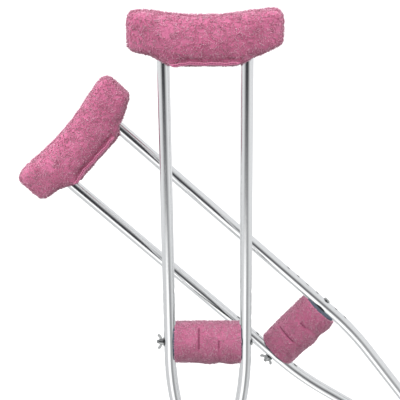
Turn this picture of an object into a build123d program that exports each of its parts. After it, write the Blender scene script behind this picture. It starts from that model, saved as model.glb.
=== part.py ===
"""A pair of adjustable aluminium underarm crutches with plush covers.

Both crutches are the same, so each piece is made once, in the crutch's own frame, and written twice.
That frame has its origin at the centre of the hand grip, +Z up along the crutch, and +X along the
grip's bolt towards its head. The front crutch stands in it; the back crutch is turned and set behind.
All sizes are in millimetres.
"""

import os
from math import radians, tan

from build123d import *

os.makedirs("parts", exist_ok=True)

# Tubes
tube_r = 19.05 / 2
tube_wall = 1.25
tube_bore_r = tube_r - tube_wall
sleeve_r = 22.2 / 2
sleeve_bore_r = sleeve_r - 1.25

# Route of a side tube: straight beside the grip, in towards the sleeve, then down beside it
side_x = 60.85
side_top_z = 470.0
bend_start_z = -22.0
bend_angle = 10.5
upper_bend_r = 500.0
lower_bend_r = 250.0
low_side_x = 21.6
side_end_z = -392.0

# Hand grip and its holes
grip_pitch = 44.0
dimpled_holes = [-grip_pitch, 0.0, grip_pitch, 2 * grip_pitch]
plain_holes = [z + grip_pitch / 2 for z in dimpled_holes[:-1]]
grip_bolt_r = 3.175
grip_hole_r = 3.4
dimple_r = 5.3
dimple_angle = 120
core_r = 13.0
foam_r = 29.5
foam_half = 55.5
cover_r = 33.5
cover_half = 53.5
grip_gap = 0.4

# Sleeve, leg and spring buttons
sleeve_top_z = -300.0
sleeve_end_z = -582.0
collar_r = 14.2
clamp_bolt_z = [-322.0, -372.0]
clamp_bolt_r = 2.5
button_z = -480.0
button_pitch = 25.4
button_stops = 7
button_r = 3.5
button_hole_r = 3.6
leg_top_z = button_z + 25.0
tip_z = -720.0
tip_base_r = 20.0

# Underarm pad
pad_half = 112.0
pad_depth = 72.0
pad_top_end_z = 521.0
pad_top_mid_z = 513.6
pad_low_mid_z = 443.0
pad_low_end_z = 459.0
pad_low_flat_half = 64.0
pad_edge_r = 11.0
cover_skin = 6.7
cover_clearance = 0.3
tube_way_r = tube_r + 1.8
rivet_z = 452.0
rivet_r = 2.0
rivet_head_r = 3.6
rivet_head_thick = 1.1
saddle_half = 92.0
saddle_top_end_z = 500.0
saddle_top_mid_z = 494.0
saddle_side_z = 476.0
saddle_low_z = 471.0
saddle_low_half = 76.0
saddle_depth = 40.0
spigot_length = 45.0

# Where the back crutch stands
back_turn = -47.5
back_place = Location((152.0, 70.0, -10.9), (0, back_turn, 0))


def write(part, name):
    """Writes one piece of each crutch, as front_NAME and back_NAME."""
    for prefix, place in (("front", Location()), ("back", back_place)):
        placed = part.moved(place)
        placed.label = f"{prefix}_{name}"
        export_step(placed, f"parts/{placed.label}.step")


def side_tube(outer_r, inner_r, lift=0.0):
    """The tube on the +X side, bare, raised by lift. An inner_r of 0 makes it solid."""
    upper_corner_z = bend_start_z - upper_bend_r * tan(radians(bend_angle / 2))
    lower_corner_z = upper_corner_z - (side_x - low_side_x) / tan(radians(bend_angle))
    with BuildPart() as tube:
        with BuildLine(Plane.XZ) as route:
            FilletPolyline(
                (side_x, side_top_z + lift),
                (side_x, upper_corner_z + lift),
                (low_side_x, lower_corner_z + lift),
                (low_side_x, side_end_z + lift),
                radius=[upper_bend_r, lower_bend_r],
            )
        with BuildSketch(Plane((side_x, 0, side_top_z + lift), z_dir=(0, 0, -1))):
            Circle(outer_r)
            if inner_r:
                Circle(inner_r, mode=Mode.SUBTRACT)
        sweep(path=route.line)
    return tube.part


def bore_along_x(x, z, radius, length):
    """A round tool along X for cutting a hole, centred at x, z."""
    with BuildPart() as tool:
        with BuildSketch(Plane.YZ.offset(x)):
            with Locations((0, z)):
                Circle(radius)
        extrude(amount=length / 2, both=True)
    return tool.part


def pad_solid(inset):
    """The underarm pad's outer shape, brought in by inset all over."""
    with BuildPart() as pad:
        with BuildSketch(Plane.XZ) as outline:
            with BuildLine():
                ThreePointArc(
                    (-pad_half, pad_top_end_z), (0, pad_top_mid_z), (pad_half, pad_top_end_z)
                )
                Polyline(
                    (pad_half, pad_top_end_z),
                    (pad_half - 2, pad_low_end_z),
                    (pad_low_flat_half, pad_low_mid_z),
                    (-pad_low_flat_half, pad_low_mid_z),
                    (2 - pad_half, pad_low_end_z),
                    (-pad_half, pad_top_end_z),
                )
            make_face()
            low_end_corners = outline.vertices().filter_by(lambda v: abs(v.Y - pad_low_end_z) < 0.1)
            fillet(outline.vertices().group_by(Axis.Y)[-1], 20)
            fillet(outline.vertices().group_by(Axis.Y)[0], 16)
            fillet(low_end_corners, 12)
            offset(amount=-inset)
        extrude(amount=pad_depth / 2 - inset, both=True)
        front_and_back = pad.faces().filter_by(GeomType.PLANE).filter_by(Axis.Y)
        fillet(front_and_back.edges(), pad_edge_r - inset)
    return pad.part


def saddle_beam(grow):
    """The stiff beam under the underarm foam, grown by grow for the space that holds it."""
    with BuildPart() as beam:
        with BuildSketch(Plane.XZ):
            with BuildLine():
                ThreePointArc(
                    (-saddle_half, saddle_top_end_z + grow),
                    (0, saddle_top_mid_z + grow),
                    (saddle_half, saddle_top_end_z + grow),
                )
                Polyline(
                    (saddle_half, saddle_top_end_z + grow),
                    (saddle_half + grow, saddle_side_z),
                    (saddle_low_half, saddle_low_z - grow),
                    (-saddle_low_half, saddle_low_z - grow),
                    (-saddle_half - grow, saddle_side_z),
                    (-saddle_half, saddle_top_end_z + grow),
                )
            make_face()
        extrude(amount=saddle_depth / 2 + grow, both=True)
    return beam.part


# Side tubes, drilled for the grip bolt, the clamp bolts and the saddle's rivets

with BuildPart() as right_side_tube:
    add(side_tube(tube_r, tube_bore_r))
    for z in dimpled_holes:
        with Locations(Location((side_x + tube_r, 0, z), (0, 90, 0))):
            CounterSinkHole(grip_hole_r, dimple_r, tube_r, dimple_angle)
        with Locations(Location((side_x - tube_r, 0, z), (0, -90, 0))):
            CounterSinkHole(grip_hole_r, dimple_r, tube_r, dimple_angle)
    for z in plain_holes:
        add(bore_along_x(side_x, z, grip_hole_r, 3 * tube_r), mode=Mode.SUBTRACT)
    for z in clamp_bolt_z:
        add(bore_along_x(low_side_x, z, clamp_bolt_r + 0.1, 3 * tube_r), mode=Mode.SUBTRACT)
    with BuildSketch(Plane.XZ):
        with Locations((side_x, rivet_z)):
            Circle(rivet_r + 0.1)
    extrude(amount=tube_r + 1, both=True, mode=Mode.SUBTRACT)
write(right_side_tube.part, "right_side_tube")

with BuildPart() as left_side_tube:
    mirror(right_side_tube.part, about=Plane.YZ)
write(left_side_tube.part, "left_side_tube")

# Underarm pad: saddle, rivets, foam and plush cover

with BuildPart() as saddle:
    add(saddle_beam(0))
    fillet(saddle.edges().filter_by(Axis.Y), 5)
    with BuildSketch(Plane.XY.offset(saddle_low_z)):
        with Locations((side_x, 0), (-side_x, 0)):
            Circle(tube_bore_r - 0.08)
    extrude(amount=-spigot_length)
    with BuildSketch(Plane.XZ):
        with Locations((side_x, rivet_z), (-side_x, rivet_z)):
            Circle(rivet_r + 0.1)
    extrude(amount=tube_r, both=True, mode=Mode.SUBTRACT)
write(saddle.part, "saddle")

with BuildPart() as saddle_rivets:
    with BuildSketch(Plane.XZ):
        with Locations((side_x, rivet_z), (-side_x, rivet_z)):
            Circle(rivet_r)
    extrude(amount=tube_r + 1, both=True)
    for side in (-1, 1):
        with BuildSketch(Plane.XZ.offset(side * (tube_r + 0.1))):
            with Locations((side_x, rivet_z), (-side_x, rivet_z)):
                Circle(rivet_head_r)
        extrude(amount=side * rivet_head_thick)
write(saddle_rivets.part, "saddle_rivets")

with BuildPart() as tube_ways:
    with BuildSketch(Plane.XY.offset(saddle_low_z + 0.5)):
        with Locations((side_x, 0), (-side_x, 0)):
            Circle(tube_way_r)
    extrude(amount=-41.5)

with BuildPart() as underarm_foam:
    add(pad_solid(cover_skin + cover_clearance))
    add(tube_ways.part, mode=Mode.SUBTRACT)
    add(saddle_beam(cover_clearance), mode=Mode.SUBTRACT)
write(underarm_foam.part, "underarm_foam")

with BuildPart() as underarm_cover:
    add(pad_solid(0))
    add(pad_solid(cover_skin), mode=Mode.SUBTRACT)
    add(tube_ways.part, mode=Mode.SUBTRACT)
write(underarm_cover.part, "underarm_cover")

# Hand grip: core, foam sleeve, plush cover and bolt. Its ends are hollowed to pass the side tubes,
# and their bend when the grip is at its lowest hole.

tube_room = [
    side_tube(tube_r + grip_gap, 0),
    side_tube(tube_r + grip_gap, 0, lift=grip_pitch),
]
tube_room += [room.mirror(Plane.YZ) for room in tube_room]


def grip_layer(outer_r, inner_r, half):
    """A round layer of the hand grip, hollowed at its ends for the side tubes."""
    with BuildPart() as layer:
        with BuildSketch(Plane.YZ):
            Circle(outer_r)
            Circle(inner_r, mode=Mode.SUBTRACT)
        extrude(amount=half, both=True)
        rims = layer.edges().filter_by(GeomType.CIRCLE)
        fillet(rims.filter_by(lambda e: abs(e.radius - outer_r) < 0.01), 1.5)
        for room in tube_room:
            add(room, mode=Mode.SUBTRACT)
    return layer.part


write(grip_layer(core_r, grip_bolt_r + 0.1, foam_half - 3), "grip_core")
write(grip_layer(foam_r, core_r + 0.1, foam_half), "grip_foam")
write(grip_layer(cover_r, foam_r + 0.2, cover_half), "grip_cover")

tube_face_x = side_x + tube_r + 0.1
bolt_end_x = -81.8
bolt_head_r = 5.8
bolt_head_thick = 2.0

with BuildPart() as grip_bolt:
    with BuildSketch(Plane.YZ.offset(tube_face_x)):
        Circle(grip_bolt_r)
    extrude(amount=bolt_end_x - tube_face_x)
    chamfer(grip_bolt.faces().sort_by(Axis.X)[0].edges(), 0.5)
    with BuildSketch(Plane.YZ.offset(tube_face_x)):
        Circle(bolt_head_r)
    extrude(amount=bolt_head_thick)
    fillet(grip_bolt.faces().sort_by(Axis.X)[-1].edges(), 1.6)
write(grip_bolt.part, "grip_bolt")

washer_r = 7.0
washer_thick = 1.2
nut_base_x = -tube_face_x - washer_thick - 0.05
nut_boss_r = 5.4
nut_boss_height = 6.4
wing_thick = 2.2

with BuildPart() as wing_nut_washer:
    with BuildSketch(Plane.YZ.offset(-tube_face_x)):
        Circle(washer_r)
        Circle(grip_bolt_r + 0.1, mode=Mode.SUBTRACT)
    extrude(amount=-washer_thick)
write(wing_nut_washer.part, "wing_nut_washer")

with BuildPart() as wing_nut:
    with BuildSketch(Plane.YZ.offset(nut_base_x)):
        Circle(nut_boss_r)
    extrude(amount=-nut_boss_height, taper=9)
    with BuildSketch(Plane.XZ):
        with BuildLine():
            Polyline(
                (nut_base_x - 0.8, 4.0),
                (nut_base_x - 2.4, 8.0),
                (nut_base_x - 4.6, 12.2),
                (nut_base_x - 8.4, 13.2),
                (nut_base_x - 9.2, 10.4),
                (nut_base_x - 6.4, 7.2),
                (nut_base_x - 5.4, 3.0),
                close=True,
            )
        make_face()
        mirror(about=Plane.XZ)
    extrude(amount=wing_thick / 2, both=True)
    wing_tips = wing_nut.edges().filter_by(Axis.Y).filter_by(lambda e: abs(e.center().Z) > 9)
    fillet(wing_tips, 1.2)
    add(bore_along_x(nut_base_x, 0, grip_bolt_r + 0.07, 40), mode=Mode.SUBTRACT)
write(wing_nut.part, "wing_nut")

# Sleeve: the centre tube that the side tubes are clamped to

with BuildPart() as sleeve_tube:
    with BuildSketch(Plane.XY.offset(sleeve_end_z)):
        Circle(sleeve_r)
        Circle(sleeve_bore_r, mode=Mode.SUBTRACT)
    extrude(amount=sleeve_top_z - sleeve_end_z)
    for z in clamp_bolt_z:
        add(bore_along_x(0, z, clamp_bolt_r + 0.1, 3 * sleeve_r), mode=Mode.SUBTRACT)
    with BuildSketch(Plane.XZ):
        with Locations((0, button_z)):
            with GridLocations(0, button_pitch, 1, button_stops):
                Circle(button_hole_r)
    extrude(amount=sleeve_r + 1, both=True, mode=Mode.SUBTRACT)
write(sleeve_tube.part, "sleeve_tube")

with BuildPart() as sleeve_cap:
    with BuildSketch(Plane.XY.offset(sleeve_top_z)):
        Circle(sleeve_r - 0.2)
    extrude(amount=2.5)
    fillet(sleeve_cap.faces().sort_by(Axis.Z)[-1].edges(), 1.5)
    with BuildSketch(Plane.XY.offset(sleeve_top_z)):
        Circle(sleeve_bore_r - 0.05)
    extrude(amount=-11)
write(sleeve_cap.part, "sleeve_cap")

with BuildPart() as sleeve_collar:
    with BuildSketch(Plane.XY.offset(sleeve_end_z - 4)):
        Circle(collar_r)
        Circle(tube_r + 0.08, mode=Mode.SUBTRACT)
    extrude(amount=22)
    with BuildSketch(Plane.XY.offset(sleeve_end_z)):
        Circle(sleeve_r + 0.03)
    extrude(amount=20, mode=Mode.SUBTRACT)
    rims = sleeve_collar.edges().filter_by(GeomType.CIRCLE)
    fillet(rims.filter_by(lambda e: abs(e.radius - collar_r) < 0.01), 1.2)
write(sleeve_collar.part, "sleeve_collar")

clamp_face_x = low_side_x + tube_r
clamp_tail = 6.0
clamp_head_r = 5.0
clamp_head_thick = 2.8
clamp_nut_height = 4.0
clamp_nut_cap_r = 3.9

with BuildPart() as clamp_bolts:
    for z in clamp_bolt_z:
        add(bore_along_x(-clamp_tail / 2, z, clamp_bolt_r, 2 * clamp_face_x + clamp_tail))
        with BuildSketch(Plane.YZ.offset(clamp_face_x)):
            with Locations((0, z)):
                Circle(clamp_head_r)
        extrude(amount=clamp_head_thick)
    heads = clamp_bolts.faces().sort_by(Axis.X)[-2:]
    fillet(heads.edges(), 2.0)
write(clamp_bolts.part, "clamp_bolts")

with BuildPart() as clamp_nuts:
    for z in clamp_bolt_z:
        with BuildSketch(Plane.YZ.offset(-clamp_face_x)):
            with Locations((0, z)):
                RegularPolygon(4.6, 6)
        extrude(amount=-clamp_nut_height)
        with BuildSketch(Plane.YZ.offset(-clamp_face_x - clamp_nut_height)):
            with Locations((0, z)):
                Circle(clamp_nut_cap_r)
        extrude(amount=-3.2, taper=18)
        nut_bore = bore_along_x(-clamp_face_x, z, clamp_bolt_r + 0.05, 2 * clamp_tail + 1)
        add(nut_bore, mode=Mode.SUBTRACT)
write(clamp_nuts.part, "clamp_nuts")

spacer_r = 7.0

with BuildPart() as tube_spacers:
    for x in (low_side_x - tube_r, tube_r - low_side_x):
        for z in clamp_bolt_z:
            add(bore_along_x(x, z, spacer_r, 6.0))
            add(bore_along_x(x, z, clamp_bolt_r + 0.1, 8.0), mode=Mode.SUBTRACT)
    with BuildSketch(Plane.XY.offset(clamp_bolt_z[1] - 20)):
        Circle(sleeve_r)
        with Locations((low_side_x, 0), (-low_side_x, 0)):
            Circle(tube_r)
    extrude(amount=100, mode=Mode.SUBTRACT)
write(tube_spacers.part, "tube_spacers")

with BuildPart() as side_tube_plugs:
    with BuildSketch(Plane.XY.offset(side_end_z)):
        with Locations((low_side_x, 0), (-low_side_x, 0)):
            Circle(tube_r)
    extrude(amount=-3)
    fillet(side_tube_plugs.faces().filter_by(Axis.Z).sort_by(Axis.Z)[:2].edges(), 2)
    with BuildSketch(Plane.XY.offset(side_end_z)):
        with Locations((low_side_x, 0), (-low_side_x, 0)):
            Circle(tube_bore_r - 0.05)
    extrude(amount=10)
write(side_tube_plugs.part, "side_tube_plugs")

# Leg: the tube that slides in the sleeve, its spring buttons and its rubber tip

tip_floor = 6.0
tip_height = 49.0
tip_mouth_r = 12.6
tip_neck_r = 14.0
disc_thick = 1.2
leg_end_z = tip_z + tip_floor + disc_thick

with BuildPart() as leg_tube:
    with BuildSketch(Plane.XY.offset(leg_end_z)):
        Circle(tube_r)
        Circle(tube_bore_r, mode=Mode.SUBTRACT)
    extrude(amount=leg_top_z - leg_end_z)
    with BuildSketch(Plane.XZ):
        with Locations((0, button_z)):
            Circle(button_hole_r)
    extrude(amount=tube_r + 1, both=True, mode=Mode.SUBTRACT)
write(leg_tube.part, "leg_tube")

spring_outer = 5.85
spring_thick = 0.5
spring_length = 48.0
spring_width = 6.0
spring_drop = 14.0
flange_r = 4.5
flange_near_y = 5.9
flange_thick = 0.9
button_rise = 6.1

with BuildPart() as button_spring:
    with BuildSketch(Plane.YZ):
        with Locations((0, button_z - spring_drop)):
            SlotOverall(spring_length, 2 * spring_outer, rotation=90)
            SlotOverall(
                spring_length - 2 * spring_thick,
                2 * (spring_outer - spring_thick),
                rotation=90,
                mode=Mode.SUBTRACT,
            )
        with Locations((0, button_z + spring_drop)):
            Rectangle(40, 18, mode=Mode.SUBTRACT)
    extrude(amount=spring_width / 2, both=True)
write(button_spring.part, "button_spring")

with BuildPart() as near_button:
    with BuildSketch(Plane.XZ.offset(flange_near_y)):
        with Locations((0, button_z)):
            Circle(flange_r)
    extrude(amount=flange_thick)
    with BuildSketch(Plane.XZ.offset(flange_near_y + flange_thick)):
        with Locations((0, button_z)):
            Circle(button_r)
    extrude(amount=button_rise)
    fillet(near_button.faces().sort_by(Axis.Y)[0].edges(), 1.8)
write(near_button.part, "near_button")

with BuildPart() as far_button:
    mirror(near_button.part, about=Plane.XZ)
write(far_button.part, "far_button")

with BuildPart() as rubber_tip:
    with BuildSketch(Plane.XZ):
        with BuildLine():
            Line((0, tip_z), (tip_base_r, tip_z))
            Line((tip_base_r, tip_z), (tip_base_r, tip_z + 8))
            ThreePointArc(
                (tip_base_r, tip_z + 8), (15.8, tip_z + 13.5), (tip_neck_r, tip_z + 21)
            )
            Line((tip_neck_r, tip_z + 21), (tip_mouth_r, tip_z + tip_height))
            Line((tip_mouth_r, tip_z + tip_height), (0, tip_z + tip_height))
            Line((0, tip_z + tip_height), (0, tip_z))
        make_face()
    revolve(axis=Axis.Z)
    with BuildSketch(Plane.XY.offset(tip_z + tip_floor)):
        Circle(tube_r + 0.08)
    extrude(amount=tip_height, mode=Mode.SUBTRACT)
    with BuildSketch(Plane.XY.offset(tip_z)):
        for ring_r in (6.0, 11.0, 16.0):
            Circle(ring_r + 1.0)
            Circle(ring_r - 1.0, mode=Mode.SUBTRACT)
    extrude(amount=2.0, mode=Mode.SUBTRACT)
    for rib in range(3):
        with BuildSketch(Plane.XY.offset(tip_z + 38 + 3.5 * rib)):
            Circle(tip_neck_r - 0.1)
            Circle(tip_mouth_r - 0.6, mode=Mode.SUBTRACT)
        extrude(amount=1.6)
write(rubber_tip.part, "rubber_tip")

with BuildPart() as tip_disc:
    with BuildSketch(Plane.XY.offset(tip_z + tip_floor)):
        Circle(tube_r - 0.1)
    extrude(amount=disc_thick)
write(tip_disc.part, "tip_disc")
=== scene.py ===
# %% [markdown]
# # Underarm crutches with plush covers
# A pair of aluminium underarm crutches. Each has two side tubes, a padded top that goes under the arm, a padded
# hand grip on a bolt with a wing nut, a telescoping leg and a rubber tip. The metal and moulded parts come ready
# from the CAD model, and only need finishes. The soft parts (plush covers, foam) are made here, because cloth
# has creases and pile that a CAD solid can't have. Each soft piece is made once, for a crutch that stands
# upright with the middle of its hand grip at the origin, and is then placed on both crutches.

from math import cos, pi, radians, sin, sqrt

import bmesh
import bpy
import numpy as np
from mathutils import Matrix, Vector, noise


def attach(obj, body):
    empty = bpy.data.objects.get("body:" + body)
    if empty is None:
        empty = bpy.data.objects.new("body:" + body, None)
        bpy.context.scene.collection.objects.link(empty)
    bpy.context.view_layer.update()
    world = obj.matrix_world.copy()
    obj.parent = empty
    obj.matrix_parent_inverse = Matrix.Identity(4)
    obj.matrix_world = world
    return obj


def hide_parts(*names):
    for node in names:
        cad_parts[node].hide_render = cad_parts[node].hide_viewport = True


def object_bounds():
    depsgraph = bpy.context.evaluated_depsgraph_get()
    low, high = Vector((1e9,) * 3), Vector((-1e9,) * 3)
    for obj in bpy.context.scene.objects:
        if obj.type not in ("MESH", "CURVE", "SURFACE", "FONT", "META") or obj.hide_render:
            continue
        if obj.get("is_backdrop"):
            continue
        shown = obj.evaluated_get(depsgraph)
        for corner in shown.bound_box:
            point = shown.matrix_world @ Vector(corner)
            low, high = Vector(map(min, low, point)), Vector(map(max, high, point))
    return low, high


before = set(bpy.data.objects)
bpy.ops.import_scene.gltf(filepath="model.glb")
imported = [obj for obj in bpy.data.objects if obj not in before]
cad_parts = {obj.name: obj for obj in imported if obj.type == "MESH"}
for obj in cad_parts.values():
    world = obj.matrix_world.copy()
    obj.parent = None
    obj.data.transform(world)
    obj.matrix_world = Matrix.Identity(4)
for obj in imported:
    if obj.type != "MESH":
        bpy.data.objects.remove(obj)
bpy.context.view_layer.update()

# %% [markdown]
# ## Sizes
# All lengths are in metres. The side tubes stand 121.7 mm apart beside the grip, and bend towards each other a
# little below it. The back crutch is the same crutch, turned about the depth axis and set behind the front one.

# %% Sizes and places
TUBE_R = 0.009525
TUBE_X = 0.06085
BEND_START_Z = -0.022
BEND_R = 0.5
GRIP_DROP = 0.044
BACK_TURN = radians(47.5)

UPRIGHT = Matrix.Identity(4)
LEANING = Matrix(
    (
        (cos(BACK_TURN), 0, -sin(BACK_TURN), 0.152),
        (0, 1, 0, 0.070),
        (sin(BACK_TURN), 0, cos(BACK_TURN), -0.0109),
        (0, 0, 0, 1),
    )
)
CRUTCHES = {"front": UPRIGHT, "back": LEANING}
print("crutches:", ", ".join(CRUTCHES))

# %% [markdown]
# ## Writing shader maths as expressions
# A shader graph is a list of boxes with wires. For sums it reads better as Python: `Wire` wraps one output socket,
# and its operators add the Math nodes. `Board` holds the node tree and adds any other node by name.


# %% Wires and boards
class Wire:
    """One value in a node tree, which can be used in sums."""

    def __init__(self, board, socket):
        self.board = board
        self.socket = socket

    def __add__(self, other):
        return self.board.math("ADD", self, other)

    __radd__ = __add__

    def __mul__(self, other):
        return self.board.math("MULTIPLY", self, other)

    __rmul__ = __mul__

    def __sub__(self, other):
        return self.board.math("SUBTRACT", self, other)

    def __rsub__(self, other):
        return self.board.math("SUBTRACT", other, self)


class Board:
    """A node tree that is being wired."""

    def __init__(self, tree):
        self.tree = tree

    def feed(self, socket, value):
        """Sets one input socket to a number, colour or vector, or links a Wire to it."""
        if isinstance(value, Wire):
            self.tree.links.new(value.socket, socket)
        elif isinstance(value, tuple) and len(value) == 3 and socket.type == "RGBA":
            socket.default_value = (*value, 1.0)
        else:
            socket.default_value = value

    def node(self, kind, settings=None, **inputs):
        """Adds a node. Settings come first, then inputs by name (spaces as _) or number (i0)."""
        node = self.tree.nodes.new(kind)
        for name, value in (settings or {}).items():
            setattr(node, name, value)
        for name, value in inputs.items():
            number = name[1:] if name[0] == "i" and name[1:].isdigit() else None
            socket = node.inputs[int(number)] if number else node.inputs[name.replace("_", " ")]
            self.feed(socket, value)
        return node

    def out(self, node, name=0):
        return Wire(self, node.outputs[name])

    def math(self, operation, a, b=0.0):
        """One Math node, for numbers."""
        return self.out(self.node("ShaderNodeMath", {"operation": operation}, i0=a, i1=b))

    def mix(self, amount, a, b):
        """One Mix node, for colours: a where amount is 0, b where it is 1."""
        node = self.node("ShaderNodeMix", {"data_type": "RGBA"}, i0=amount, i6=a, i7=b)
        return self.out(node, 2)

    def step(self, value, low, high):
        """0 below low, 1 above high, and smooth between."""
        settings = {"interpolation_type": "SMOOTHSTEP"}
        return self.out(self.node("ShaderNodeMapRange", settings, i0=value, i1=low, i2=high))

    def noise(self, place, scale, detail=2.0, roughness=0.5, distortion=0.0):
        node = self.node(
            "ShaderNodeTexNoise",
            Vector=place,
            Scale=scale,
            Detail=detail,
            Roughness=roughness,
            Distortion=distortion,
        )
        return self.out(node)

    def place(self):
        """The point on the piece, in metres."""
        return self.out(self.node("ShaderNodeTexCoord"), "Object")

    def along_crutch(self, name):
        """The point on the piece in its own crutch's frame, for a finish that follows the crutch."""
        if name == "front":
            return self.place()
        turned = self.node("ShaderNodeMapping", {"vector_type": "POINT"}, Vector=self.place())
        back = LEANING.inverted()
        turned.inputs["Location"].default_value = back.translation
        turned.inputs["Rotation"].default_value = back.to_euler("XYZ")
        return self.out(turned)

    def stretched(self, place, scale):
        return self.out(self.node("ShaderNodeMapping", Vector=place, Scale=scale))

    def bump(self, height, strength, depth):
        return self.out(self.node("ShaderNodeBump", Strength=strength, Distance=depth, Height=height))


def finish(name, build, **fixed):
    """A material named name. build(board) returns the changing sockets as a dict; fixed are constants."""
    material = bpy.data.materials.new(name)
    material.use_nodes = True
    material.node_tree.nodes.clear()
    board = Board(material.node_tree)
    shader = board.node("ShaderNodeBsdfPrincipled", None, **fixed)
    for socket, value in build(board).items():
        board.feed(shader.inputs[socket.replace("_", " ")], value)
    board.node("ShaderNodeOutputMaterial", Surface=board.out(shader))
    return material


print("shader helpers ready")

# %% [markdown]
# ## Metal finishes
# Drawn aluminium tube is polished, with very fine lines along its length from the drawing die. The lines are a noise
# stretched a hundredfold along the tube. They change the roughness a little and the surface height by next to
# nothing, so the tube still mirrors the room. Every tube follows its crutch, so the finish is made once per crutch.


# %% Aluminium, zinc and steel
def drawn_aluminium(name):
    def build(board):
        place = board.along_crutch(name)
        lines = board.noise(board.stretched(place, (900.0, 900.0, 6.0)), 1.0, 3.0)
        smudge = board.noise(place, 38.0, 3.0, 0.6)
        scratch = board.noise(board.stretched(place, (260.0, 260.0, 30.0)), 1.0, 2.0, 0.5, 0.6)
        worn = board.step(scratch, 0.64, 0.72)
        return {
            "Base_Color": board.mix(smudge, (0.86, 0.865, 0.87), (0.93, 0.935, 0.94)),
            "Roughness": 0.12 + lines * 0.07 + board.step(smudge, 0.5, 0.75) * 0.05 + worn * 0.06,
            "Normal": board.bump(lines * 0.5 + worn * -0.2, 0.12, 0.00002),
        }

    return finish(f"drawn_aluminium_{name}", build, Metallic=1.0)


def zinc_plate(name):
    def build(board):
        place = board.along_crutch(name)
        grain = board.noise(place, 900.0, 3.0, 0.6)
        cloud = board.noise(place, 210.0, 2.0)
        return {
            "Base_Color": board.mix(cloud, (0.36, 0.37, 0.37), (0.54, 0.55, 0.55)),
            "Roughness": 0.2 + grain * 0.18,
            "Normal": board.bump(grain, 0.25, 0.00008),
        }

    return finish(f"zinc_plate_{name}", build, Metallic=1.0)


def threaded_zinc(name):
    """The grip bolt: a plain shank, with a rolled thread on the end that takes the wing nut."""

    def build(board):
        place = board.along_crutch(name)
        parts = board.node("ShaderNodeSeparateXYZ", Vector=place)
        x = board.out(parts, "X")
        ridge = board.math("SINE", x * (2 * pi / 0.00127))
        threaded = 1.0 - board.step(x, -0.062, -0.060)
        grain = board.noise(place, 900.0, 3.0, 0.6)
        return {
            "Base_Color": board.mix(grain, (0.38, 0.39, 0.39), (0.56, 0.57, 0.57)),
            "Roughness": 0.2 + grain * 0.15,
            "Normal": board.bump(ridge * threaded * 0.5 + grain * 0.04, 0.8, 0.0005),
        }

    return finish(f"threaded_zinc_{name}", build, Metallic=1.0)


def turned_steel(board):
    grain = board.noise(board.place(), 1400.0, 2.0)
    return {
        "Base_Color": board.mix(grain, (0.62, 0.63, 0.64), (0.74, 0.75, 0.76)),
        "Roughness": 0.16 + grain * 0.14,
        "Normal": board.bump(grain, 0.15, 0.00003),
    }


def tempered_strip(board):
    heat = board.noise(board.place(), 160.0, 2.0)
    return {
        "Base_Color": board.mix(heat, (0.26, 0.27, 0.30), (0.40, 0.37, 0.33)),
        "Roughness": 0.3 + heat * 0.15,
    }


aluminium = {name: drawn_aluminium(name) for name in CRUTCHES}
zinc = {name: zinc_plate(name) for name in CRUTCHES}
bolt_zinc = {name: threaded_zinc(name) for name in CRUTCHES}
button_steel = finish("turned_steel", turned_steel, Metallic=1.0)
spring_steel = finish("tempered_strip", tempered_strip, Metallic=1.0)
print("metal finishes:", 3 * len(CRUTCHES) + 2)

# %% [markdown]
# ## Moulded finishes
# The saddle, caps and spacers are black nylon with a fine spark-eroded grain. The tip is grey rubber: matt, with a
# mottled bloom and small scuffs near the floor. The foams are full of small cells, made by a Voronoi pattern whose
# cell walls stand up; the cell hollows are painted darker, as painted shade.


# %% Plastic, rubber and foam
def grained_nylon(board):
    grain = board.noise(board.place(), 1500.0, 2.0)
    cloud = board.noise(board.place(), 90.0, 2.0)
    return {
        "Base_Color": board.mix(cloud, (0.018, 0.018, 0.020), (0.034, 0.034, 0.037)),
        "Roughness": 0.42 + grain * 0.2,
        "Normal": board.bump(grain, 0.3, 0.0001),
    }


def moulded_rubber(board):
    place = board.place()
    bloom = board.noise(place, 70.0, 4.0, 0.6)
    grain = board.noise(place, 1100.0, 2.0)
    scuff = board.step(board.noise(board.stretched(place, (90.0, 90.0, 420.0)), 1.0, 3.0), 0.56, 0.7)
    plain = board.mix(bloom, (0.070, 0.070, 0.073), (0.125, 0.124, 0.124))
    return {
        "Base_Color": board.mix(scuff * 0.35, plain, (0.22, 0.215, 0.21)),
        "Roughness": 0.62 + bloom * 0.22,
        "Normal": board.bump(grain + scuff * 0.6, 0.3, 0.00015),
    }


def open_cells(dark, light, size):
    def build(board):
        place = board.place()
        cell = board.node("ShaderNodeTexVoronoi", {"feature": "F1"}, Vector=place, Scale=1 / size)
        wall = board.step(board.out(cell, "Distance"), 0.15, 0.62)
        cloud = board.noise(place, 60.0, 3.0)
        return {
            # The colour is darker in the cell hollows, a painted shade, and varies at random with the cloud noise.
            "Base_Color": board.mix(wall * 0.6 + cloud * 0.4, dark, light),
            "Roughness": 0.82 + wall * 0.12,
            "Normal": board.bump(wall, 0.5, 0.0003),
        }

    return build


nylon = finish("grained_nylon", grained_nylon)
rubber = finish("moulded_rubber", moulded_rubber)
pad_foam = finish("open_cell_foam", open_cells((0.60, 0.57, 0.48), (0.78, 0.76, 0.69), 0.0016))
grip_foam = finish("closed_cell_foam", open_cells((0.040, 0.052, 0.078), (0.085, 0.105, 0.140), 0.0011))
print("moulded finishes: 4")

# %% [markdown]
# ## Plush
# Plush is a knitted backing with a short, tangled pile. Backing and pile share one look: the backing shows between
# the locks, and the pile's colour is darker at its roots, a painted shade, and lighter at its tips, a painted
# highlight. The spaces between locks are painted darker too, as painted shade. `tip` and `tone` are stored on the
# locks when they are scattered. Sheen gives the pale edge that fibres have. The grip's shorter plush has the same
# colours, darkened all over as painted shade.

# %% Plush backing and pile
PLUSH_DEEP_AND_SHADE = (0.400, 0.052, 0.145)
PLUSH_MID = (0.770, 0.265, 0.445)
PLUSH_PALE_HIGHLIGHT = (0.930, 0.680, 0.790)


def shaded(colour, depth):
    return tuple(depth * part for part in colour)


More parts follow.
